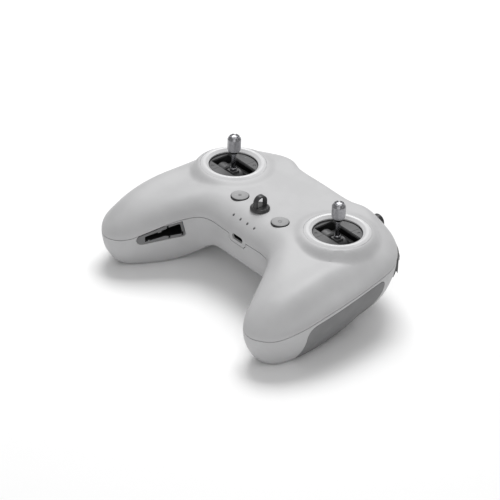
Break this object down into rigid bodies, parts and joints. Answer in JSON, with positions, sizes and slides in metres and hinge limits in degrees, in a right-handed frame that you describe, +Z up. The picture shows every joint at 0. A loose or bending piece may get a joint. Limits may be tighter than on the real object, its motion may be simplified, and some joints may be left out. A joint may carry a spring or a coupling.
{
  "type": "radio transmitter controller",
  "caption": "Handheld radio transmitter with two grips, a pair of spring-centred sticks in round openings, a lanyard post and shoulder controls.",
  "frame": {"origin": "centre of the footprint box, on the plane that the grips rest on", "axes": "+X to the user's right, +Y away from the user, +Z up"},
  "size_m": [0.165, 0.1155, 0.0687],
  "materials": {
    "shell_plastic": "fine matte texture",
    "bezel_plastic": "satin",
    "key_plastic": "satin",
    "pad_rubber": "matte, lightly grained",
    "insert_rubber": "matte",
    "dark_plastic": "fine matte texture",
    "gimbal_plastic": "fine grain",
    "black_plastic": "matte",
    "satin_metal": "satin turned",
    "steel": "satin",
    "circuit_board": "solder mask",
    "lamp_glass": "clear light guide",
    "cell_wrap": "shrink wrap"
  },
  "bodies": {
    "housing": {"top_shell": "shell_plastic", "bottom_shell": "shell_plastic", "left_shoulder_panel": "dark_plastic", "left_grip_pad": "pad_rubber", "left_storage_insert": "insert_rubber", "left_far_screw": "steel", "left_near_screw": "steel", "left_grip_screw": "steel", "right_shoulder_panel": "dark_plastic", "right_grip_pad": "pad_rubber", "right_storage_insert": "insert_rubber", "right_far_screw": "steel", "right_near_screw": "steel", "right_grip_screw": "steel", "lanyard_post": "dark_plastic", "power_dome_switch": "steel", "function_dome_switch": "steel", "led_light_guide": "lamp_glass", "main_board": "circuit_board", "key_board": "circuit_board", "usb_c_port": "steel", "radio_module": "steel", "buzzer": "black_plastic", "left_antenna": "circuit_board", "left_battery_cell": "cell_wrap", "left_gimbal_bezel": "bezel_plastic", "left_gimbal_cover": "gimbal_plastic", "left_gimbal_frame": "black_plastic", "left_sensor_board": "circuit_board", "right_antenna": "circuit_board", "right_battery_cell": "cell_wrap", "right_gimbal_bezel": "bezel_plastic", "right_gimbal_cover": "gimbal_plastic", "right_gimbal_frame": "black_plastic", "right_sensor_board": "circuit_board", "dial_axle": "steel"},
    "left_yoke": {"left_gimbal_yoke": "dark_plastic"},
    "right_yoke": {"right_gimbal_yoke": "dark_plastic"},
    "left_stick": {"left_stick_carrier": "dark_plastic", "left_stick_shaft": "steel", "left_stick_collar": "satin_metal", "left_stick_knob": "satin_metal"},
    "right_stick": {"right_stick_carrier": "dark_plastic", "right_stick_shaft": "steel", "right_stick_collar": "satin_metal", "right_stick_knob": "satin_metal"},
    "power_key": {"power_button": "key_plastic"},
    "function_key": {"function_button": "key_plastic"},
    "dial_wheel": {"gimbal_dial": "dark_plastic"},
    "pause_key": {"pause_button": "dark_plastic"},
    "record_key": {"record_button": "dark_plastic"},
    "mode_slider": {"mode_switch": "key_plastic"},
    "left_toggle": {"left_toggle_switch": "key_plastic"},
    "right_toggle": {"right_toggle_switch": "key_plastic"}
  },
  "joints": [
    {"name": "left_stick_tilt_y", "type": "hinge", "parent": "housing", "child": "left_yoke", "pos_m": [-0.045, 0.01821, 0.0413], "axis": [1, 0, 0], "range_deg": [-24, 24]},
    {"name": "left_stick_tilt_x", "type": "hinge", "parent": "left_yoke", "child": "left_stick", "pos_m": [-0.045, 0.01821, 0.0413], "axis": [0, 1, 0], "range_deg": [-24, 24], "stiffness_Nm_per_rad": 0.06},
    {"name": "right_stick_tilt_y", "type": "hinge", "parent": "housing", "child": "right_yoke", "pos_m": [0.045, 0.01821, 0.0413], "axis": [1, 0, 0], "range_deg": [-24, 24], "stiffness_Nm_per_rad": 0.06},
    {"name": "right_stick_tilt_x", "type": "hinge", "parent": "right_yoke", "child": "right_stick", "pos_m": [0.045, 0.01821, 0.0413], "axis": [0, 1, 0], "range_deg": [-24, 24], "stiffness_Nm_per_rad": 0.06},
    {"name": "power_button_press", "type": "slide", "parent": "housing", "child": "power_key", "axis": [0, 0, -1], "range_m": [0, 0.0006], "stiffness_N_per_m": 300, "springref_m": -0.0005},
    {"name": "function_button_press", "type": "slide", "parent": "housing", "child": "function_key", "axis": [0, 0, -1], "range_m": [0, 0.0006], "stiffness_N_per_m": 300, "springref_m": -0.0005},
    {"name": "dial_turn", "type": "hinge", "parent": "housing", "child": "dial_wheel", "pos_m": [-0.04233, 0.04835, 0.0317], "axis": [0, 0, 1], "range_deg": [-35, 35], "stiffness_Nm_per_rad": 0.01},
    {"name": "pause_button_press", "type": "slide", "parent": "housing", "child": "pause_key", "axis": [0.5562, -0.831, 0], "range_m": [0, 0.001], "stiffness_N_per_m": 300, "springref_m": -0.0005},
    {"name": "record_button_press", "type": "slide", "parent": "housing", "child": "record_key", "axis": [0.0378, -0.9993, 0], "range_m": [0, 0.001], "stiffness_N_per_m": 300, "springref_m": -0.0005},
    {"name": "mode_switch_slide", "type": "slide", "parent": "housing", "child": "mode_slider", "axis": [0.8453, -0.5342, 0], "range_m": [-0.0024, 0.0024]},
    {"name": "left_toggle_slide", "type": "slide", "parent": "housing", "child": "left_toggle", "axis": [0.9727, 0.232, 0], "range_m": [-0.0016, 0.0016]},
    {"name": "right_toggle_slide", "type": "slide", "parent": "housing", "child": "right_toggle", "axis": [0.9902, -0.1397, 0], "range_m": [-0.0016, 0.0016]}
  ]
}
